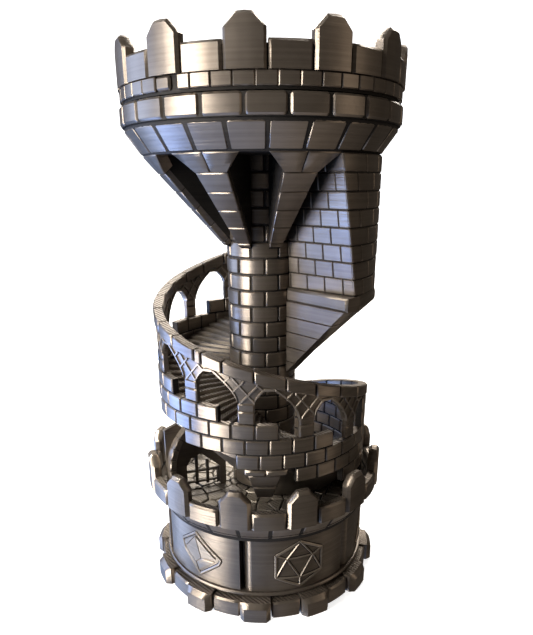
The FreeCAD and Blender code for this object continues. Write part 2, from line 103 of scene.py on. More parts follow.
class Shape:
    """Closed shells gathered into one mesh."""

    def __init__(self):
        self.points = []
        self.faces = []
        self.finish = []       # material slot of each face
        self.joint = False

    @contextmanager
    def as_joint_shade(self):
        """Faces made inside this block take the painted shade of the joints: a near-black copy of
        the print's material.
        """
        self.joint = True
        yield
        self.joint = False

    def tube(self, rows, wrap=False):
        """Shell through a list of closed outlines; its ends are capped unless it wraps round."""
        first = len(self.points)
        count = len(rows[0])
        for row in rows:
            self.points.extend(row)
        last = len(rows) - 1
        for i in range(len(rows) if wrap else last):
            a = first + i * count
            b = first + ((i + 1) % len(rows)) * count
            for j in range(count):
                k = (j + 1) % count
                self.faces.append((a + j, a + k, b + k, b + j))
        if not wrap:
            self.faces.append(tuple(first + j for j in range(count)))
            end = first + last * count
            self.faces.append(tuple(end + j for j in reversed(range(count))))
        self.finish += [1 if self.joint else 0] * (len(self.faces) - len(self.finish))

    def turn(self, profile, start=0.0, sweep=360.0, step=4.0):
        """Body of revolution of a closed outline of (radius, height) points."""
        self.follow(start, start + sweep, step, lambda azimuth: profile, wrap=sweep >= 360.0)

    def core(self, r0, r1, z0, z1, step=3.0):
        """Ring of painted shade that closes the view through the joints."""
        with self.as_joint_shade():
            self.turn(((r0, z0), (r1, z0), (r1, z1), (r0, z1)), step=step)

    def follow(self, start, end, step, profile, wrap=False):
        """Body whose outline of (radius, height) points depends on the azimuth."""
        sweep = end - start
        count = max(2, int(round(sweep / step)))
        stations = [start + sweep * i / count for i in range(count if wrap else count + 1)]
        self.tube([[polar(r, a, z) for r, z in profile(a)] for a in stations], wrap)

    def slab(self, place, u0, u1, low, high, back, front, edge=0.6, wide=ARC, step=3.0,
             marks=(), levels=(), round_back=False, sole=False, corner=0.0):
        """Block between u0 and u1 whose front has chamfered edges.

        place(u, v, w) gives the point at length u, height v and depth w, low and high give the
        block's height at u, and wide is the millimetres in one unit of u. Marks are extra cuts
        along u, and levels are extra cuts up the face, as shares of its height. A round back is
        chamfered too, a sole keeps the bottom edge square, and a corner rounds the corners.
        """
        bevel = min(edge, (u1 - u0) * wide * 0.3)
        side = bevel / wide
        us = {u0: bevel, u0 + side: 0.0, u1 - side: 0.0, u1: bevel}
        count = max(1, int(math.ceil((u1 - u0 - 2 * side) / step)))
        for i in range(1, count):
            us[u0 + side + (u1 - u0 - 2 * side) * i / count] = 0.0
        for mark in marks:
            if u0 + side < mark < u1 - side:
                us[mark] = 0.0
        if corner > 0.0:
            for share in (0.12, 0.4, 1.0):
                for u in (u0 + corner * share / wide, u1 - corner * share / wide):
                    us[u] = max(0.0, bevel - min(u - u0, u1 - u) * wide)

        def rounded(u):
            away = min(corner, min(u - u0, u1 - u) * wide)
            return corner - math.sqrt(corner ** 2 - (corner - away) ** 2)

        rows = []
        for u in sorted(us):
            bottom = low(u) if callable(low) else low
            top = high(u) if callable(high) else high
            bottom += 0.0 if sole else rounded(u)
            top -= rounded(u)
            tall = max(top - bottom, 0.02)
            rise = min(bevel, tall * 0.3)
            vs = [(bottom, 0.0)] if sole else [(bottom, bevel), (bottom + rise, 0.0)]
            vs += [(bottom + tall * n, 0.0) for n in levels]
            vs += [(bottom + tall - rise, 0.0), (bottom + tall, bevel)]
            drops = [min(bevel, us[u] + d) for v, d in vs]
            row = [place(u, v, front - d) for (v, _), d in zip(vs, drops)]
            if round_back:
                row += [place(u, v, back + d) for (v, _), d in reversed(list(zip(vs, drops)))]
            else:
                row += [place(u, bottom + tall, back), place(u, bottom, back)]
            rows.append(row)
        self.tube(rows)

    def prism(self, outline, low, high, edge):
        """Upright stone over a convex plan of (x, y) points in mm, with a bevelled top."""
        cx, cy = middle_of(outline)
        reach = min(math.hypot(x - cx, y - cy) for x, y in outline)
        keep = max(0.3, 1.0 - edge / max(reach, 0.01))
        inner = [(cx + (x - cx) * keep, cy + (y - cy) * keep) for x, y in outline]
        levels = ((outline, low), (outline, high - edge), (inner, high))
        self.tube([[(x * MM, y * MM, z * MM) for x, y in plan] for plan, z in levels])


def on_drum(u, v, w):
    return polar(w, u, v)


def on_cone(r0, z0, r1, z1):
    """Sloped face: v runs from (r0, z0) towards (r1, z1) and w stands out from it."""
    length = math.hypot(r1 - r0, z1 - z0)
    dr = (r1 - r0) / length
    dz = (z1 - z0) / length

    def place(u, v, w):
        return polar(r0 + v * dr + w * dz, u, z0 + v * dz - w * dr)

    return place, length


def on_radial_wall(azimuth):
    """Flat wall along a radius: u is the radius and w stands out towards smaller azimuths."""
    sin = math.sin(math.radians(azimuth))
    cos = math.cos(math.radians(azimuth))

    def place(u, v, w):
        return ((u * sin - w * cos) * MM, (-u * cos - w * sin) * MM, v * MM)

    return place


def add_object(name, data):
    obj = bpy.data.objects.new(name, data)
    bpy.context.scene.collection.objects.link(obj)
    return obj


def piece(shape, name, body, look, nodes=()):
    """Makes the shape an object that rides on a body and stands for some CAD nodes."""
    mesh = bpy.data.meshes.new(name)
    mesh.from_pydata(shape.points, [], shape.faces)
    work = bmesh.new()
    work.from_mesh(mesh)
    bmesh.ops.recalc_face_normals(work, faces=work.faces)
    work.to_mesh(mesh)
    work.free()
    mesh.shade_smooth()
    mesh.set_sharp_from_angle(angle=SHARP)
    mesh.materials.append(look)
    if any(shape.finish):
        # second slot: the painted shade of the joints
        mesh.materials.append(JOINT_SHADE)
        mesh.polygons.foreach_set("material_index", shape.finish)
    obj = add_object(name, mesh)
    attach(obj, body)
    if nodes:
        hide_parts(*nodes)


# --- materials ----------------------------------------------------------------------
MIX_A = 6                  # sockets of the Mix node: two colours and their blend
MIX_B = 7
MIX_COLOUR = 2
VECTOR_A = 4               # the same for two vectors
VECTOR_B = 5
MIX_VECTOR = 1


class Nodes:
    """Short way to build a node tree."""

    def __init__(self, tree):
        self.tree = tree

    def add(self, kind, values=None, **settings):
        node = self.tree.nodes.new(kind)
        for key, value in settings.items():
            setattr(node, key, value)
        for key, value in (values or {}).items():
            if isinstance(value, bpy.types.NodeSocket):
                self.tree.links.new(value, node.inputs[key])
            else:
                node.inputs[key].default_value = value
        return node

    def maths(self, operation, a, b=0.0):
        return self.add("ShaderNodeMath", {0: a, 1: b}, operation=operation).outputs[0]

    def blend(self, value, start, first, end, last):
        """Colour that goes from first to last while the value goes from start to end."""
        node = self.add("ShaderNodeValToRGB", {"Fac": value})
        for stop, at, colour in zip(node.color_ramp.elements, (start, end), (first, last)):
            stop.position = at
            stop.color = colour + (1.0,)
        return node.outputs["Color"]


def new_material(name):
    material = bpy.data.materials.new(name)
    material.use_nodes = True
    return material, material.node_tree.nodes["Principled BSDF"].inputs


def print_look(name, dark, light, rough=0.36, metal=0.78, lines=1.0, zigzag=0.6, gloss=0.5):
    """Silk filament: fine layer lines round the part, and the nozzle's zigzag on flat tops."""
    material, shader = new_material(name)
    n = Nodes(material.node_tree)
    where = n.add("ShaderNodeTexCoord").outputs["Object"]
    flat = n.add("ShaderNodeMapping", {"Vector": where, "Scale": (50.0, 50.0, 1500.0)})
    layers = n.add("ShaderNodeTexNoise", {"Vector": flat.outputs[0], "Scale": 1.0, "Detail": 3.0})
    cloud = n.add("ShaderNodeTexNoise", {"Vector": where, "Scale": 55.0, "Detail": 3.0})
    rings = n.add("ShaderNodeMapping", {"Vector": where, "Scale": (8.0, 8.0, 900.0)})
    bands = n.add("ShaderNodeTexNoise", {"Vector": rings.outputs[0], "Scale": 1.0, "Detail": 1.0})
    tone = n.maths("ADD", n.maths("MULTIPLY", cloud.outputs[0], 0.55),
                   n.maths("MULTIPLY", bands.outputs[0], 0.45))
    spread = n.add("ShaderNodeMapRange", {"Value": tone, "From Min": 0.35, "From Max": 0.65})
    mix = n.add("ShaderNodeMix", {"Factor": spread.outputs[0], MIX_A: dark + (1.0,),
                                  MIX_B: light + (1.0,)}, data_type="RGBA")
    facing = n.add("ShaderNodeNewGeometry").outputs["Normal"]
    upward = n.add("ShaderNodeSeparateXYZ", {0: facing}).outputs[2]
    top = n.add("ShaderNodeMapRange", {"Value": upward, "From Min": 0.8, "From Max": 0.95})
    weave = n.add("ShaderNodeTexWave", {"Vector": where, "Scale": 230.0, "Distortion": 0.0},
                  bands_direction="DIAGONAL", wave_profile="TRI")
    tops = n.maths("MULTIPLY", top.outputs[0], weave.outputs["Fac"])
    fine = n.add("ShaderNodeBump", {"Height": layers.outputs[0], "Strength": 0.5 * lines,
                                    "Distance": 0.00026})
    grain = n.add("ShaderNodeBump", {"Height": tops, "Strength": 0.9 * zigzag,
                                     "Distance": 0.0006, "Normal": fine.outputs[0]})
    patchy = n.add("ShaderNodeMapRange", {"Value": cloud.outputs[0], "To Min": rough - 0.05,
                                          "To Max": rough + 0.08})
    n.tree.links.new(mix.outputs[MIX_COLOUR], shader["Base Color"])
    n.tree.links.new(patchy.outputs[0], shader["Roughness"])
    n.tree.links.new(grain.outputs[0], shader["Normal"])
    shader["Metallic"].default_value = metal
    shader["Specular IOR Level"].default_value = gloss
    return material


STONE = print_look("pewter_print", (0.165, 0.140, 0.117), (0.225, 0.195, 0.165), 0.31)
# painted shade: a near-black, dull copy of the print's material for the gaps between stones, which
# on the print are only in shadow
JOINT_SHADE = print_look("pewter_joint_shade", (0.020, 0.018, 0.017), (0.036, 0.033, 0.030), 0.6,
                   metal=0.4, gloss=0.15)
PLAIN = print_look("pewter_plain", (0.140, 0.120, 0.102), (0.190, 0.166, 0.143), 0.36, zigzag=0.2)
PANEL = print_look("pewter_panel", (0.160, 0.137, 0.115), (0.210, 0.183, 0.156), 0.31, lines=1.3)
# painted shade: a darker, less metallic copy of the print's material on the tray's flagstones
PAVING_SHADE = print_look("pewter_paving_shade", (0.085, 0.075, 0.064), (0.16, 0.141, 0.118), 0.45,
                    metal=0.5, zigzag=0.35)
PLANK = print_look("pewter_plank", (0.110, 0.094, 0.078), (0.215, 0.188, 0.158), 0.44, zigzag=2.0)
# painted highlight: a lighter copy of the print's material on the raised emblem lines and arcade
# ribs
RELIEF_HIGHLIGHT = print_look("pewter_relief_highlight", (0.23, 0.202, 0.17), (0.31, 0.272, 0.232), 0.40)
# painted shade: a darker copy of the print's material on the gate's bars
GRILLE_SHADE = print_look("pewter_grille_shade", (0.13, 0.12, 0.11), (0.20, 0.185, 0.17), 0.38)


# --- foot and plinth ----------------------------------------------------------------
def make_foot():
    big = Shape()
    small = Shape()
    inner = 60.0               # radius of the blocks' hidden back
    for i in range(BLOCKS):
        centre = FOOT_CENTRE + PITCH * i
        big.slab(on_drum, centre - 7.3, centre + 7.3, 0.0, 11.4, inner, 71.95, edge=2.6, wide=1.25,
                 sole=True)
        centre += PITCH / 2.0
        small.slab(on_drum, centre - 7.2, centre + 7.2, 0.0, 10.1, inner, 67.95, edge=1.0,
                   wide=1.18, sole=True)
    piece(big, "foot_blocks_tall", "base", STONE, ["foot_large_blocks"])
    piece(small, "foot_blocks_low", "base", STONE, ["foot_small_blocks"])
    lip = Shape()
    lip.turn(((55.0, 11.55), (63.2, 11.55), (63.7, 11.9), (64.25, 12.4), (64.25, 13.7),
              (63.9, 14.2), (63.4, 14.3), (55.0, 14.3)), step=3.0)
    piece(lip, "plinth_lip", "base", PLAIN, ["drum_plinth"])


# --- tray ---------------------------------------------------------------------------
def battlement(tall, low, first, inner, outer, sill, parapet, shoulder, tip, spread, edge):
    """Pointed merlons with low blocks between them.

    The merlons stand from sill to tip, and spread is the flat part of their tip. The low blocks
    end at parapet.
    """
    half = 7.2                 # degrees from a merlon's middle to its side
    round_tip = 0.25           # drop of the flat part's ends
    set_back = 0.45            # a low block's face behind the merlons' face

    def top(centre):
        def height(u):
            away = abs(u - centre) / half
            if away <= spread:
                return tip - round_tip * away / spread
            slope = (away - spread) / (1.0 - spread)
            return tip - round_tip - (tip - round_tip - shoulder) * slope
        return height

    for i in range(BLOCKS):
        centre = first + PITCH * i
        marks = [centre + half * m for m in (-spread, -0.75 * spread, 0.0, 0.75 * spread, spread)]
        tall.slab(on_drum, centre - half + 0.1, centre + half - 0.1, sill, top(centre), inner,
                  outer - rng.uniform(0.02, 0.1), edge=edge, wide=1.27, marks=marks, step=2.4,
                  round_back=True, sole=True)
        middle = centre + PITCH / 2.0
        low.slab(on_drum, middle - 7.4, middle + 7.4, sill, parapet, inner,
                 outer - set_back - rng.uniform(0.0, 0.15), edge=1.1, wide=1.27, round_back=True,
                 sole=True)
    low.core(inner + 1.0, outer - 2.4, sill + 0.05, parapet - 1.6)


def ring_of_stones(shape, place, first, gap, low, high, back, front, uneven, edge, **more):
    """Full ring of stones with half a joint, gap, on each side, and slightly uneven faces."""
    for i in range(RING_STONES):
        start = first + RING_PITCH * i
        shape.slab(place, start + gap, start + RING_PITCH - gap, low, high, back,
                   front - rng.uniform(*uneven), edge=edge, **more)


def clipped(outline, nx, ny, limit):
    """Part of a convex outline where nx*x + ny*y is at most limit."""
    kept = []
    for (ax, ay), (bx, by) in zip(outline, outline[1:] + outline[:1]):
        da = nx * ax + ny * ay - limit
        db = nx * bx + ny * by - limit
        if da <= 0.0:
            kept.append((ax, ay))
        if da * db < 0.0:
            t = da / (da - db)
            kept.append((ax + (bx - ax) * t, ay + (by - ay) * t))
    return kept


def flagstones(shape, radius, low, high):
    """Irregular paving: the cells round scattered points, drawn in to leave joints."""
    spacing = 10.4
    gap = 0.4                  # half a joint
    widest = 30.0              # half the square that a stone is cut from
    neighbour = 36.0           # seeds further off than this can't cut a stone
    socket = 9.6               # the column's socket stays open
    rim_sides = 48
    seeds = []
    for ring in range(1, 7):
        count = 5 + 6 * ring
        for i in range(count):
            turn = math.radians(360.0 * (i + rng.uniform(-0.28, 0.28)) / count)
            away = ring * spacing - 3.0 + rng.uniform(-2.6, 2.6)
            seeds.append((away * math.sin(turn), -away * math.cos(turn)))
    for sx, sy in seeds:
        outline = [(sx - widest, sy - widest), (sx + widest, sy - widest),
                   (sx + widest, sy + widest), (sx - widest, sy + widest)]
        for ox, oy in seeds:
            dx = ox - sx
            dy = oy - sy
            away = math.hypot(dx, dy)
            if 0.0 < away < neighbour:
                nx = dx / away
                ny = dy / away
                outline = clipped(outline, nx, ny, nx * sx + ny * sy + away / 2.0 - gap)
        for i in range(rim_sides):
            turn = 2.0 * math.pi * i / rim_sides
            outline = clipped(outline, math.sin(turn), math.cos(turn), radius)
        reach = min((math.hypot(x, y) for x, y in outline), default=0.0)
        if len(outline) >= 3 and reach > socket:
            shape.prism(outline, low, high - rng.uniform(0.0, 0.5), 0.5)


def make_tray():
    tall = Shape()
    low = Shape()
    battlement(tall, low, first=TRAY_CENTRE, inner=66.75, outer=72.95, sill=62.0, parapet=71.5,
               shoulder=77.3, tip=83.95, spread=0.38, edge=1.7)
    piece(tall, "tray_merlon_stones", "base", STONE, ["tray_merlons"])
    piece(low, "tray_parapet_stones", "base", STONE, ["tray_parapet_blocks"])
    ring = Shape()
    # backing ring in painted shade, seen through the joints of the corbel stones
    with ring.as_joint_shade():
        ring.turn(((60.05, 49.25), (64.0, 49.25), (64.4, 50.4), (64.6, 52.0), (66.0, 53.4),
                   (69.9, 60.2), (70.5, 61.95), (66.75, 61.95), (66.75, 54.05), (60.05, 54.05)),
                  step=3.0)
    place, length = on_cone(65.1, 51.4, 71.4, 61.9)
    ring_of_stones(ring, place, -12.0, 0.3, 0.0, length, -3.0, 0.0, (0.05, 0.35), 1.0, wide=1.2)
    piece(ring, "tray_corbel_stones", "base", STONE, ["tray_corbel_ring"])
    floor = Shape()
    floor.core(9.4, 66.6, 54.0, 55.6, step=6.0)
    flagstones(floor, 66.4, 54.2, 56.95)
    # the flagstones take the darker copy, painted shade
    piece(floor, "tray_paving", "base", PAVING_SHADE, ["tray_flagstones"])


# --- gate ---------------------------------------------------------------------------
def make_gate():
    arch = Shape()
    start = -66.0
    end = -60.0
    centre = 29.5              # radius at which the arc is centred
    spring = 76.0              # height at which the jamb turns into the arc
    inner = 30.0
    middle = 32.0              # arc radius along which u is measured

    def along_arch(u, v, w):
        """u runs up the jamb in mm and then round the arc, v goes outwards and w along azimuth."""
        lean = max(0.0, (u - (spring - TRAY_FLOOR)) / middle)
        reach = inner + v
        height = min(u + TRAY_FLOOR, spring)
        radius = centre + reach * math.cos(lean)
        return polar(radius, w, height + reach * math.sin(lean))

    stones = [0.0, 6.4, 12.8, 19.0, 25.7, 32.4, 39.0, 45.8]
    for a, b in zip(stones, stones[1:]):
        arch.slab(along_arch, a + 0.18, b - 0.18, 0.05, 3.95, start + 0.05, end - 0.05, edge=0.5,
                  wide=1.0, step=2.0, round_back=True)
    core = ((0.5, start + 0.6), (3.5, start + 0.6), (3.5, end - 0.6), (0.5, end - 0.6))
    # core in painted shade behind the voussoirs' joints
    with arch.as_joint_shade():
        arch.tube([[along_arch(46.0 * i / 24, v, w) for v, w in core] for i in range(25)])
    piece(arch, "gate_voussoirs", "base", STONE, ["gate_arch"])
    bars = Shape()
    wall = on_radial_wall(GATE_AZIMUTH)

    def bar(r0, r1, z0, z1):
        bars.slab(wall, r0, r1, z0, z1, -0.98, 0.98, edge=0.5, wide=1.0, step=6.0, round_back=True)

    for r in (30.5, 37.3, 44.1, 51.2):
        top = min(80.4, 68.9 + (r - 30.5) * 0.85)
        bar(r - 0.95, r + 0.95, 57.9, top)
    bar(29.65, 52.05, 59.2, 60.9)
    bar(29.65, 52.05, 66.6, 68.4)
    bar(43.3, 52.05, 76.6, 78.4)
    # the bars take the darker copy, painted shade
    piece(bars, "gate_grille", "gate", GRILLE_SHADE, ["portcullis"])


# --- column and ramp ----------------------------------------------------------------
def make_column():
    bricks = Shape()
    count = 8                  # bricks in one course
    width = 360.0 / count
    bricks.core(1.0, 19.1, 57.05, COLUMN_TOP, step=6.0)
    for k in range(-8, 16):    # courses, in line with those of the spiral wall
        low = max(57.1, SILL_Z + COURSE * k)
        high = min(COLUMN_TOP, SILL_Z + COURSE * (k + 1))
        if high - low < 1.0:
            continue
        shift = 4.5 if k % 2 == 0 else -18.0
        for i in range(count):
            start = shift + width * i
            bricks.slab(on_drum, start + 1.2, start + width - 1.2, low + 0.36, high - 0.36, 17.5,
                        19.98 - rng.uniform(0.0, 0.3), edge=0.6, wide=0.349, step=6.0,
                        corner=1.0)
    piece(bricks, "column_stones", "tower", STONE, ["column"])


def floor_at(azimuth):
    return RAMP_FLOOR - FALL * azimuth


def soffit_edge(azimuth):
    """Height of the cone below the ramp at the drum's radius."""
    return min(SOFFIT_MAX, SOFFIT_EDGE - FALL * azimuth)


def lay_soffit_stones(shape):
    """Stones on the cone below the chute, in courses that follow the ramp down."""
    cone, length = on_cone(20.6, 132.6, 62.3, 174.3)

    def place(u, v, w):
        x, y, z = cone(u, v, w)
        return x, y, z + (soffit_edge(u) - SOFFIT_MAX) * MM

    start = -308.8
    sweep = 83.6
    rows = 5
    for row in range(rows):
        v0 = length * row / rows
        v1 = length * (row + 1) / rows
        count = 3 + row
        for i in range(count):
            a = start + sweep * i / count
            b = a + sweep / count
            shape.slab(place, a + 0.2, b - 0.2, v0 + 0.2, v1 - 0.2, -0.2, 0.5, edge=0.4,
                       wide=0.4 + 0.14 * row, step=3.0)


def ramp_section(azimuth):
    """Outline of the ramp below its planks: flat on top, with a 45 degree soffit."""
    back = 19.5
    top = max(floor_at(azimuth) - 2.2, 57.3)
    edge = soffit_edge(azimuth)
    out = 62.0 if azimuth < WALL_FROM else 58.0
    inner = min(max(DRUM_R - (edge - TOWER_FOOT), COLUMN_R), out)

    def soffit(radius):
        return min(top, max(edge - DRUM_R + radius, TOWER_FOOT))

    return ((back, top), (out, top), (out, soffit(out)), (inner, soffit(inner)),
            (back, soffit(back)))


def make_ramp():
    plank = 6.0                # degrees taken by one plank
    seam = 0.12                # degrees from a plank's side to the middle of the seam
    for name, first, last in (("upper", -309.0, -153.0), ("middle", -153.0, 15.0),
                              ("lower", 15.0, WALL_TO)):
        under = Shape()
        under.follow(first, last, 3.0, ramp_section)
        piece(under, "ramp_soffit_" + name, "tower", PLAIN, ["ramp_" + name])
        if name == "upper":
            lay_soffit_stones(under)
        planks = Shape()
        for i in range(int((last - first) / plank)):
            start = first + plank * i
            floor = floor_at(start + plank / 2.0)
            top = floor + rng.uniform(-0.25, 0.25)
            low = max(floor - 4.0, 57.25)
            if top - low < 0.8:
                continue

            def deck(u, v, w, start=start):
                """u is the radius, v the azimuth across the plank and w the height."""
                return polar(u, start + v, w)

            planks.slab(deck, 19.6, 58.0, seam, plank - seam, low, top, edge=0.45, wide=1.0,
                        step=4.8)
        piece(planks, "ramp_planks_" + name, "tower", PLANK)


# --- spiral wall, handrail and arcade -----------------------------------------------
def sill_at(azimuth):
    return SILL_Z - COURSE * math.floor((azimuth - SILL_STEP_AT) / STAIR)


def foot_at(azimuth):
    stepped = WALL_FOOT_Z - COURSE * math.floor((azimuth - WALL_FOOT_AT) / STAIR)
    return max(TOWER_FOOT, stepped)


def rail_top(azimuth):
    return RAIL_TOP - FALL * azimuth


def wall_breaks():
    """Azimuths at which the wall's sill or foot steps down."""
    sills = {SILL_STEP_AT + STAIR * i for i in range(-7, 4)}
    feet = {WALL_FOOT_AT + STAIR * i for i in range(-7, 7)}
    arcaded = {b for b in sills | feet if WALL_FROM <= b <= CLOSED_FROM}
    closed = {b for b in feet if CLOSED_FROM <= b <= WALL_TO}
    return sorted(arcaded | closed | {WALL_FROM, CLOSED_FROM, WALL_TO})


def lay_wall_core():
    """Core of painted shade behind the joints of the spiral wall."""
    core = Shape()
    breaks = wall_breaks()
    for a, b in zip(breaks, breaks[1:]):
        middle = (a + b) / 2.0
        foot = foot_at(middle) + 0.4
        sill = sill_at(middle) - 0.5

        def profile(u, foot=foot, sill=sill, closed=middle > CLOSED_FROM):
            top = max(rail_top(u) - 7.0 if closed else sill, foot + 0.1)
            return (58.7, foot), (62.2, foot), (62.2, top), (58.7, top)

        core.follow(a + 0.05, b - 0.05, 3.0, profile)
    piece(core, "spiral_wall_joint_shade", "tower", JOINT_SHADE)


def make_spiral_wall():
    lay_wall_core()
    bricks = {"upper": Shape(), "middle": Shape(), "lower": Shape()}
    width = 11.61              # degrees taken by one brick
    band = 7                   # bricks of a course that stand in the arcaded part
    for j in range(-14, 12):   # courses, from the top down
        low = 110.25 - COURSE * j
        start = -73.7 + STAIR * j
        for k in range(30):
            a = start + width * k
            b = a + width
            middle = (a + b) / 2.0
            in_band = k < band
            if middle < WALL_FROM or middle > WALL_TO:
                continue
            if not in_band and middle <= CLOSED_FROM - 6.0:
                continue
            a = max(a, WALL_FROM if in_band else CLOSED_FROM)
            b = min(b, WALL_TO)
            bottom = max(low, 57.25)
            top = low + COURSE
            if b - a < 1.5 or top - bottom < 1.5:
                continue
            under_rail = rail_top(b if in_band else a) - 6.6
            if under_rail < bottom + (1.0 if in_band else 0.8):
                continue
            group = "upper" if middle < UPPER_TO else "middle" if middle < CLOSED_FROM else "lower"

            def high(u, top=top, bottom=bottom):
                return max(bottom + 0.3, min(top - 0.37, rail_top(u) - 6.7))

            bricks[group].slab(on_drum, a + 0.34, b - 0.34, bottom + 0.37, high, 58.05,
                               62.98 - rng.uniform(0.0, 0.3), edge=0.6, wide=ARC,
                               round_back=True, corner=0.8)
    for group, shape in bricks.items():
        piece(shape, "spiral_stones_" + group, "tower", STONE, ["spiral_wall_" + group])
    make_wall_corbel()


def make_wall_corbel():
    """Inverted pyramid of three courses below the wall's front."""
    corbel = Shape()
    for a, b in ((-9.4, 1.0), (1.3, 11.9)):
        corbel.slab(on_drum, a, b, 89.1, 92.7, 52.0, 62.9, edge=0.9, wide=ARC)
    stem, length = on_cone(57.0, 73.05, 61.4, 88.9)

    def tapered(u, v, w):
        return stem(0.6 + u * (4.5 + 4.3 * v / length), v, w)

    for v0, v1, depth in ((0.0, 0.47, -7.0), (0.49, 1.0, -11.0)):
        corbel.slab(tapered, -1.0, 1.0, length * v0, length * v1, depth, -0.05, edge=0.7, wide=6.0,
                    step=0.4)
    piece(corbel, "wall_corbel_stones", "tower", STONE, ["wall_corbel"])


def make_handrail():
    length = STAIR / 2.0       # degrees taken by one stone
    for name, first, last in (("upper", WALL_FROM, -30.0), ("lower", -30.0, WALL_TO)):
        rail = Shape()
        joints = [-4.2 + length * i for i in range(-20, 14)]
        ends = sorted({first, last} | {j for j in joints if first + 2.0 < j < last - 2.0})
        for a, b in zip(ends, ends[1:]):
            out = 63.45 - rng.uniform(0.0, 0.15)
            rail.slab(on_drum, a + 0.42, b - 0.42, lambda u: rail_top(u) - 6.45,
                      lambda u: rail_top(u) - 0.1, 57.55, out, edge=0.6, wide=ARC,
                      round_back=True)
        # core in painted shade behind the rail's joints
        with rail.as_joint_shade():
            rail.follow(first + 0.4, last - 0.4, 3.0,
                        lambda a: ((59.0, rail_top(a) - 5.4), (62.0, rail_top(a) - 5.4),
                                   (62.0, rail_top(a) - 1.6), (59.0, rail_top(a) - 1.6)))
        piece(rail, "handrail_stones_" + name, "tower", STONE, ["handrail_" + name])


def make_arcade():
    """Pillars that flare into lopsided pointed arches, with a lattice of raised ribs."""
    pillars = Shape()
    ribs = Shape()
    half = 4.0                 # degrees from a shaft's middle to its side
    reach_left = 16.2          # degrees to the arches' peaks
    reach_right = 13.8
    # each rib of the lattice: degrees and mm from the shaft's knee, and its rise in mm a degree
    lattice = ((1.0, 4.95, -1.245), (1.0, 4.95, 1.146), (-3.8, 9.3, 1.07), (-9.2, 12.9, 1.0),
               (7.3, 8.8, -0.94))
    shares = (0.0, 0.02, 0.05, 0.1, 0.17, 0.25, 0.35, 0.5, 0.7)
    for i in range(-6, 3):
        centre = PILLAR_AT + STAIR * i
        sill = sill_at(centre)
        knee = sill + 11.0

        def under_rail(u):
            return rail_top(u) - 6.45

        def arch(u, centre=centre, knee=knee):
            """Edge of the arches that spring from both sides of the shaft."""
            away = max(0.0, abs(u - centre) - half)
            if u < centre:
                return min(knee + 6.4 * (away / 2.6) ** 0.6, under_rail(u) - 0.7)
            return min(knee + 7.4 * min(1.0, away / 4.9) ** 0.6, under_rail(u) - 1.0)

        for low, high in ((sill + 0.05, sill + 6.9), (sill + 6.95, knee + 0.6)):
            pillars.slab(on_drum, centre - half, centre + half, low, high, 58.7, 62.3, edge=0.7,
                         wide=1.06, round_back=True)
        marks = [centre - half - share * (reach_left - half) for share in shares]
        marks += [centre + half + share * (reach_right - half) for share in shares]
        pillars.slab(on_drum, centre - reach_left, centre + reach_right, arch, under_rail, 59.4,
                     61.6, edge=0.3, wide=1.06, step=2.0, marks=marks, round_back=True)
        for start, end in ((centre - reach_left, centre - half),
                           (centre + half, centre + reach_right)):
            ribs.slab(on_drum, start, end, arch,
                      lambda u, arch=arch: min(arch(u) + 1.5, under_rail(u)), 58.5, 62.5,
                      edge=0.25, wide=1.06, step=1.2, marks=marks, round_back=True)
        for at, rise, lean in lattice:

            def line(u, through=centre + at, height=knee + rise, lean=lean):
                return height + lean * (u - through)

            free = [u for u in (centre + 0.2 * k for k in range(-80, 70))
                    if arch(u) + 0.2 < line(u) < under_rail(u) - 0.6]
            ribs.slab(on_drum, free[0], free[-1], lambda u, line=line: line(u) - 0.75,
                      lambda u, line=line: min(line(u) + 0.75, under_rail(u)), 58.5, 62.45,
                      edge=0.25, wide=1.06, step=2.0, round_back=True)
    piece(pillars, "arcade_stones", "tower", STONE, ["arcade_pillars"])
    # the ribs take the lighter copy, a painted highlight
    piece(ribs, "arcade_ribs", "tower", RELIEF_HIGHLIGHT)


# --- chute --------------------------------------------------------------------------
def chute_edge(height):
    """Azimuth of the chute's left edge, which leans 1.5 degrees left with each course."""
    return 47.2 - 1.5 * (height - CHUTE_LOW) / 8.44


def on_leaning_wall(u, v, w):
    return on_radial_wall(chute_edge(v))(u, v, w)


def on_leaning_drum(u, v, w):
    """u runs from 0 at the leaning edge to 1 at the chute's right edge."""
    edge = chute_edge(v)
    return polar(w, edge + u * (CHUTE_END - edge), v)


def make_chute():
    height = (CHUTE_HIGH - CHUTE_LOW) / CHUTE_COURSES
    outer = Shape()
    side = Shape()
    # backing in painted shade behind the outer stones' joints
    with outer.as_joint_shade():
        outer.slab(on_leaning_drum, 0.005, 0.999, 181.55, 248.95, 60.6, 63.4, edge=0.1, wide=100.0,
                   step=0.05)
    for i in range(CHUTE_COURSES):
        low = CHUTE_LOW + height * i
        # backing in painted shade behind this course's joints
        with side.as_joint_shade():
            side.slab(on_leaning_wall, 20.5, 60.6, low + 0.02, low + height - 0.02, -4.4, -0.6,
                      edge=0.05, wide=1.0, step=10.0)
        first = 0.085 + 0.073 * (i % 2)
        cuts = [0.0] + [x for x in (first + 0.146 * k for k in range(7)) if x < 0.96] + [1.0]
        for a, b in zip(cuts, cuts[1:]):
            outer.slab(on_leaning_drum, a + 0.0025, b - 0.0025, low + 0.25, low + height - 0.25,
                       61.0, 63.98 - rng.uniform(0.0, 0.2), edge=0.5, wide=100.0, step=0.04,
                       corner=0.7)
        first = 27.5 if i % 2 else 21.5
        cuts = [19.9] + [x for x in (first + 11.8 * k for k in range(4)) if 21.0 < x < 59.0]
        cuts += [63.5]
        for a, b in zip(cuts, cuts[1:]):
            side.slab(on_leaning_wall, a + 0.22, b - 0.22, low + 0.22, low + height - 0.22, -3.0,
                      -rng.uniform(0.02, 0.15), edge=0.4, wide=1.0, step=50.0, corner=0.6)
    piece(outer, "chute_stones_outer", "tower", STONE, ["chute_outer_wall"])
    piece(side, "chute_stones_side", "tower", STONE, ["chute_side_wall"])
    make_chute_foot()


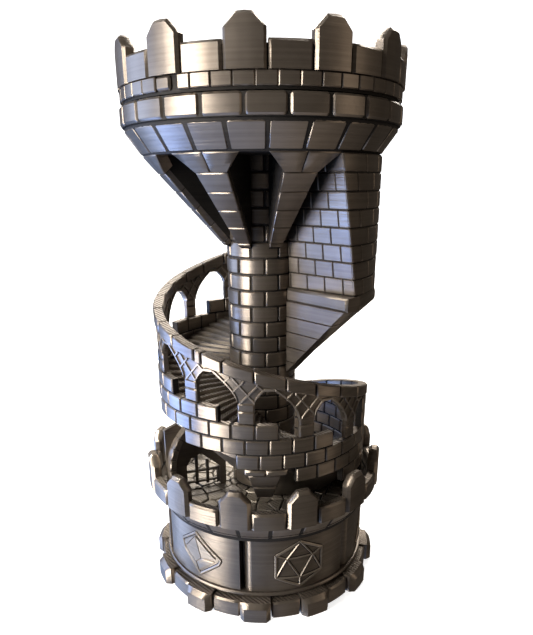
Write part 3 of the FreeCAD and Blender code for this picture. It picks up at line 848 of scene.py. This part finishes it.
def make_chute_foot():
    """Ledge below the chute, and the courses that taper down from it to the column."""
    ledge = Shape()
    ledge.turn(((58.0, 169.7), (62.3, 174.0), (64.3, 175.9), (64.45, 176.3), (64.45, 179.2),
                (64.3, 179.7), (63.2, 181.4), (58.0, 181.4)), 51.0, 84.0, 4.0)
    wall = on_radial_wall(41.0)
    ledge.slab(wall, 19.8, 64.2, 174.1, 181.4, -10.5, -0.05, edge=1.2, wide=1.0, step=50.0)
    piece(ledge, "chute_ledge_band", "tower", PLAIN, ["chute_ledge"])
    below = Shape()
    wall = on_radial_wall(42.0)
    top = 173.9
    for k in range(5):
        high = top - COURSE * k
        low = max(high - COURSE + 0.35, 132.4)
        if high - low < 1.0:
            continue

        def slope(u, low=low, high=high):
            return max(low, min(high - 0.1, 174.0 - (62.0 - u)))

        below.slab(wall, 19.8, 61.8 - (top - high), slope, high, -8.0, -0.05, edge=0.25,
                   wide=1.0, step=4.0, marks=[62.0 - (174.0 - low)])
    piece(below, "chute_support", "tower", PLAIN)


# --- hopper -------------------------------------------------------------------------
def make_corbels():
    """Flared brackets that carry the hopper on the column."""
    stones = Shape()
    half = 8.95                # degrees from a bracket's middle to its side
    arm, length = on_cone(21.5, CORBEL_LOW, 62.9, CHUTE_HIGH)
    levels = (203.6, 205.6, 214.3, 223.0, 231.7, 240.3, 248.9)
    plain_courses = 5          # the course above these flares and is split in two
    up = length / (CHUTE_HIGH - CORBEL_LOW)
    for centre in CORBEL_CENTRES:
        # backing in painted shade behind the bracket's joints
        with stones.as_joint_shade():
            stones.turn(((19.6, 203.0), (21.0, 203.9), (61.9, 248.9), (19.6, 248.9)),
                        centre - 8.9, 17.8, 4.5)
        for i, (low, high) in enumerate(zip(levels, levels[1:])):
            v0 = (low - CORBEL_LOW) * up + 0.15
            v1 = (high - CORBEL_LOW) * up - 0.15
            if i < plain_courses:
                stones.slab(arm, centre - half, centre + half, v0, v1, -3.5,
                            -rng.uniform(0.02, 0.15), edge=0.4, wide=0.8, step=3.0)
                continue

            def flared(u, v, w, centre=centre, v0=v0, v1=v1):
                grow = 1.0 + 0.84 * (v - v0) / (v1 - v0)
                return arm(centre + (u - centre) * grow, v, w)

            for a, b in ((centre - half, centre - 0.15), (centre + 0.15, centre + half)):
                stones.slab(flared, a, b, v0, v1, -6.0, -rng.uniform(0.02, 0.1), edge=0.4,
                            wide=1.0, step=3.0, levels=(0.35, 0.65))
    piece(stones, "corbel_stones", "tower", STONE, ["hopper_corbels"])


def make_hopper():
    bowl = Shape()
    rim = ((62.2, 249.05), (70.7, 260.2), (70.7, 261.95), (66.05, 261.95), (60.55, 254.0),
           (60.55, 252.45))
    # floor in painted shade behind the bowl stones' joints
    with bowl.as_joint_shade():      # over the chute's throat the floor is left out
        bowl.turn(((20.05, 249.05),) + rim + ((20.05, 252.45),), 130.0, 284.0, 4.0)
        bowl.turn(((58.55, 249.05),) + rim + ((58.55, 252.45),), 54.1, 75.8, 4.0)
    place, length = on_cone(62.9, 249.05, 71.45, 260.9)
    ring_of_stones(bowl, place, 2.3, 0.38, 0.35, length - 0.3, -1.5, 0.0, (0.02, 0.15), 0.8,
                   wide=1.17, corner=1.5)
    piece(bowl, "hopper_bowl_stones", "tower", STONE, ["hopper_bowl"])
    ring = Shape()
    ring.core(66.05, 71.8, 262.05, 271.3)
    ring_of_stones(ring, on_drum, -5.8, 0.42, 262.3, 271.4, 66.1, 72.78, (0.0, 0.15), 1.0,
                   wide=1.27, corner=1.7)
    piece(ring, "hopper_ring_stones", "tower", STONE, ["hopper_ring"])


def make_crown():
    band = Shape()
    band.core(66.05, 70.2, 272.05, 278.95)
    half = RING_STONES         # bricks in half the ring
    width = RING_PITCH / 2.0
    lug = -5                   # the brick with rounder edges and a notch after it
    for i in range(-half, half):
        start = -1.9 + width * i
        end = start + width
        edge = 0.45
        if i == lug:
            end -= 0.4
            edge = 1.0
        if i == lug + 1:
            start += 2.4
        band.slab(on_drum, start + 0.15, end - 0.15, 273.2, 278.9, 68.0,
                  71.98 - rng.uniform(0.0, 0.12), edge=edge, wide=1.25,
                  corner=2.0 * edge - 0.6)
    piece(band, "crown_band_stones", "crown", STONE, ["crown_band"])
    tall = Shape()
    low = Shape()
    battlement(tall, low, first=CROWN_CENTRE, inner=66.55, outer=72.95, sill=279.05,
               parapet=290.0, shoulder=293.6, tip=299.38, spread=0.4, edge=1.3)
    piece(tall, "crown_merlon_stones", "crown", STONE, ["crown_merlons"])
    piece(low, "crown_parapet_stones", "crown", STONE, ["crown_parapet_blocks"])


# --- emblems ------------------------------------------------------------------------
def facet(shape, outline, centre, radius_in, radius_out, margin, relief):
    """Polygon of (azimuth, height) points on the drum, drawn in by margin and bevelled."""
    cx, cy = middle_of(outline)
    count = 6                  # points on each side, so that it follows the drum
    border = []
    for (ax, ay), (bx, by) in zip(outline, outline[1:] + outline[:1]):
        for i in range(count):
            border.append((ax + (bx - ax) * i / count, ay + (by - ay) * i / count))
    reach = min(math.hypot((x - cx) * ARC, y - cy) for x, y in outline)
    rows = []
    for inset, radius in ((0.0, radius_in), (0.0, radius_out - relief), (margin, radius_out)):
        keep = 1.0 - inset / reach
        rows.append([polar(radius, centre + cx + (x - cx) * keep, cy + (y - cy) * keep)
                     for x, y in border])
    shape.tube(rows)


def strip(shape, a, b, centre, width, radius_in, radius_out):
    """Raised line between two (azimuth, height) points on the drum, narrower at its crest."""
    dx = (b[0] - a[0]) * ARC
    dy = b[1] - a[1]
    length = math.hypot(dx, dy)
    nx = -dy / length * width / 2.0 / ARC
    ny = dx / length * width / 2.0
    low = max(radius_in + 0.05, radius_out - 0.4)
    section = ((radius_in, -1.0), (low, -1.0), (radius_out, -0.35), (radius_out, 0.35),
               (low, 1.0), (radius_in, 1.0))
    count = max(2, int(length / 2.0))
    rows = []
    for i in range(count + 1):
        t = i / count
        x = centre + a[0] + (b[0] - a[0]) * t
        y = a[1] + (b[1] - a[1]) * t
        rows.append([polar(radius, x + nx * across, y + ny * across)
                     for radius, across in section])
    shape.tube(rows)


def star(count, across, up, turn=0.0, middle=EMBLEM_Z):
    """Corners of an even polygon, as (azimuth, height) points."""
    steps = [math.radians(turn + 360.0 * i / count) for i in range(count)]
    return [(across * math.sin(s), middle + up * math.cos(s)) for s in steps]


def make_emblems():
    flat = 62.95               # radii of the lines' roots, of the painted shadow beside them and of their crests
    shadow = 63.12
    top = 63.78

    def lines(shape, pairs, centre, width=1.3):
        for a, b in pairs:
            strip(shape, a, b, centre, width, flat, top)
            # a wider, lower strip under each line: painted shadow along its sides
            with shape.as_joint_shade():
                strip(shape, a, b, centre, width + 0.9, flat, shadow)

    def loop(points):
        return list(zip(points, points[1:] + points[:1]))

    for i, name in enumerate(("d20", "d4", "d6", "d12", "d8", "d10")):
        centre = 19.0 + 60.0 * i
        shape = Shape()
        if name == "d20":
            rim = star(6, 14.9, 15.0)
            tri = star(3, 8.4, 9.0, 180.0)
            for corner, nearest in zip(tri, (3, 5, 1)):
                spokes = [(corner, rim[(nearest + turn) % 6]) for turn in (-1, 0, 1)]
                lines(shape, spokes, centre, 1.1)
            lines(shape, loop(tri), centre, 1.1)
            lines(shape, loop(rim), centre, 1.7)
        elif name == "d4":
            rim = star(3, 14.0, 14.5, middle=28.5)
            lines(shape, loop(rim) + [(p, (0.0, 26.0)) for p in rim], centre)
        elif name == "d6":
            rim = star(6, 12.0, 13.5)
            lines(shape, loop(rim) + [(rim[i], (0.0, EMBLEM_Z)) for i in (1, 3, 5)], centre)
        elif name == "d12":
            rim = star(10, 13.4, 14.0)
            five = star(5, 7.4, 7.8)
            spokes = list(zip(five, rim[::2]))
            lines(shape, loop(rim) + loop(five) + spokes, centre)
        elif name == "d8":
            rim = star(6, 12.0, 14.5)
            lines(shape, loop(rim) + loop(rim[::2]), centre)
        else:
            rim = [(-9.2, 36.5), (2.2, 46.0), (17.8, 32.7), (16.7, 29.5), (4.3, 18.3),
                   (-7.3, 30.5)]
            middle = 31.8
            shrink = 0.84
            inner = [(x * shrink, middle + (y - middle) * shrink) for x, y in rim]
            left = (-6.6, 32.6)
            right = (5.6, 29.6)
            heart = (1.8, 25.6)
            lines(shape, loop(rim), centre, 1.4)
            for outline in ([inner[1], right, heart, left], [inner[0], inner[1], left],
                            [inner[1], inner[2], right], [left, heart, inner[4], inner[5]],
                            [right, inner[3], inner[4], heart]):
                facet(shape, outline, centre, flat, top, 0.55, 0.45)
        # the lines and facets take the lighter copy, a painted highlight
        piece(shape, "emblem_lines_" + name, "bin_" + name, RELIEF_HIGHLIGHT, ["emblem_" + name])


make_foot()
make_tray()
make_gate()
make_column()
make_ramp()
make_spiral_wall()
make_handrail()
make_arcade()
make_chute()
make_corbels()
make_hopper()
make_crown()
make_emblems()

# the nodes that keep their CAD shapes
for name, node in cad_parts.items():
    for material_slot in node.material_slots:
        material_slot.material = PANEL if name.startswith("drawer_") else PLAIN


# --- stage, light and camera --------------------------------------------------------
def make_stage():
    """Round pale floor that sweeps up into a wall all round; light on the tower ignores it."""
    reach = 2200.0             # radius of the flat floor
    bend = 800.0               # radius of the sweep
    wall = reach + bend
    top = 3500.0
    thick = 50.0
    below = -20.0
    outline = [(1.0, below), (1.0, 0.0), (400.0, 0.0)]
    for i in range(13):
        turn = math.radians(90.0 * i / 12)
        outline.append((reach + bend * math.sin(turn), bend * (1.0 - math.cos(turn))))
    outline += [(wall, top), (wall + thick, top), (wall + thick, below)]
    floor = Shape()
    floor.turn(outline, step=5.0)
    mesh = bpy.data.meshes.new("backdrop")
    mesh.from_pydata(floor.points, [], floor.faces)
    mesh.shade_smooth()
    mesh.set_sharp_from_angle(angle=SHARP)
    pale, shader = new_material("pale_backdrop")
    shader["Base Color"].default_value = (0.62, 0.62, 0.62, 1.0)
    shader["Roughness"].default_value = 0.9
    shader["Emission Color"].default_value = (1.0, 1.0, 1.0, 1.0)
    shader["Emission Strength"].default_value = 0.8
    mesh.materials.append(pale)
    obj = add_object("backdrop", mesh)
    obj.visible_glossy = False
    obj.visible_diffuse = False


def add_light(name, kind, energy, colour):
    data = bpy.data.lights.new(name, kind)
    data.energy = energy
    data.color = colour
    obj = add_object(name, data)
    obj.visible_camera = False
    return obj


def panel(name, energy, wide, tall, colour, spread=180.0):
    """Soft rectangular light."""
    obj = add_light(name, "AREA", energy, colour)
    obj.data.shape = "RECTANGLE"
    obj.data.size = wide
    obj.data.size_y = tall
    obj.data.spread = math.radians(spread)
    return obj


def stand(obj, at, toward):
    """Puts a light at a point in metres with its back turned toward a direction."""
    facing = toward.to_track_quat("Z", "Y").to_matrix().to_4x4()
    obj.matrix_world = Matrix.Translation(at) @ facing


def aim(obj, azimuth, elevation, away):
    """Puts a light at that distance in metres and turns it to the middle of the tower."""
    level = math.cos(math.radians(elevation))
    turn = math.radians(azimuth)
    toward = Vector((level * math.sin(turn), -level * math.cos(turn),
                     math.sin(math.radians(elevation))))
    stand(obj, toward * away + Vector((0.0, 0.0, 0.15)), toward)


def make_lights():
    """Window at the left, cool sky beside it, a room light behind, and a low beam of sun."""
    window = (1.0, 0.93, 0.83)
    aim(panel("window_left", 54.0, 0.5, 2.0, window), -55.0, 4.0, 1.2)
    aim(panel("sky_left", 15.0, 0.6, 2.0, (0.52, 0.66, 1.0)), -104.0, 0.0, 1.2)
    aim(panel("ceiling", 45.0, 1.2, 0.9, (1.0, 0.94, 0.86)), 175.0, 42.0, 1.4)
    aim(panel("warm_right", 2.5, 0.35, 1.8, (1.0, 0.82, 0.64)), 68.0, 6.0, 1.3)
    aim(panel("shade_left", 0.12, 0.25, 0.07, (0.18, 0.36, 1.0), 80.0), -90.0, -20.0, 0.32)
    sun = add_light("sun_left", "SPOT", 55.0, (1.0, 0.93, 0.80))
    sun.data.spot_size = math.radians(7.5)
    sun.data.spot_blend = 0.4
    sun.data.shadow_soft_size = 0.02
    stand(sun, Vector((-0.55, -0.16, 0.54)), Vector((-0.502, -0.158, 0.48)))
    wash = panel("backdrop_wash", 60.0, 1.4, 1.4, (1.0, 1.0, 1.0))
    wash.matrix_world = (Matrix.Translation((0.0, 1.3, 1.9))
                         @ Matrix.Rotation(math.radians(55.0), 4, "X"))


def make_world():
    """Dim room that is blue at the left and pale below; the camera sees plain pale light."""
    world = bpy.data.worlds.new("studio")
    world.use_nodes = True
    n = Nodes(world.node_tree)
    toward = n.add("ShaderNodeTexCoord").outputs["Generated"]
    leftward = n.add("ShaderNodeVectorMath", {0: toward, 1: (-0.75, 0.0, -0.66)},
                     operation="DOT_PRODUCT").outputs["Value"]
    upward = n.add("ShaderNodeSeparateXYZ", {0: toward}).outputs[2]
    sky = n.blend(leftward, 0.3, (0.075, 0.064, 0.053), 0.95, (0.30, 0.52, 1.0))
    ground = n.blend(n.maths("ADD", upward, 1.0), 0.0, (0.62, 0.53, 0.44), 0.4, (0.0, 0.0, 0.0))
    both = n.add("ShaderNodeVectorMath", {0: sky, 1: ground}, operation="ADD").outputs["Vector"]
    by_camera = n.add("ShaderNodeLightPath").outputs["Is Camera Ray"]
    seen = n.add("ShaderNodeMix", {0: by_camera, VECTOR_A: both, VECTOR_B: (0.85, 0.85, 0.85)},
                 data_type="VECTOR").outputs[MIX_VECTOR]
    background = n.tree.nodes["Background"]
    n.tree.links.new(seen, background.inputs["Color"])
    background.inputs["Strength"].default_value = 1.0
    bpy.context.scene.world = world
    bpy.context.scene.view_settings.view_transform = "Standard"


def make_camera():
    """Camera fitted to the photograph's point of view."""
    lens = bpy.data.cameras.new("eye")
    lens.sensor_width = 36.0
    lens.lens = 32.13
    lens.shift_x = 0.0054
    lens.shift_y = 0.1203
    camera = add_object("eye", lens)
    camera.matrix_world = (Matrix.Translation((0.0, -0.330, 0.2363))
                           @ Matrix.Rotation(math.radians(90.0 - 20.46), 4, "X")
                           @ Matrix.Rotation(math.radians(-0.375), 4, "Z"))
    bpy.context.scene.camera = camera


make_stage()
make_lights()
make_world()
make_camera()
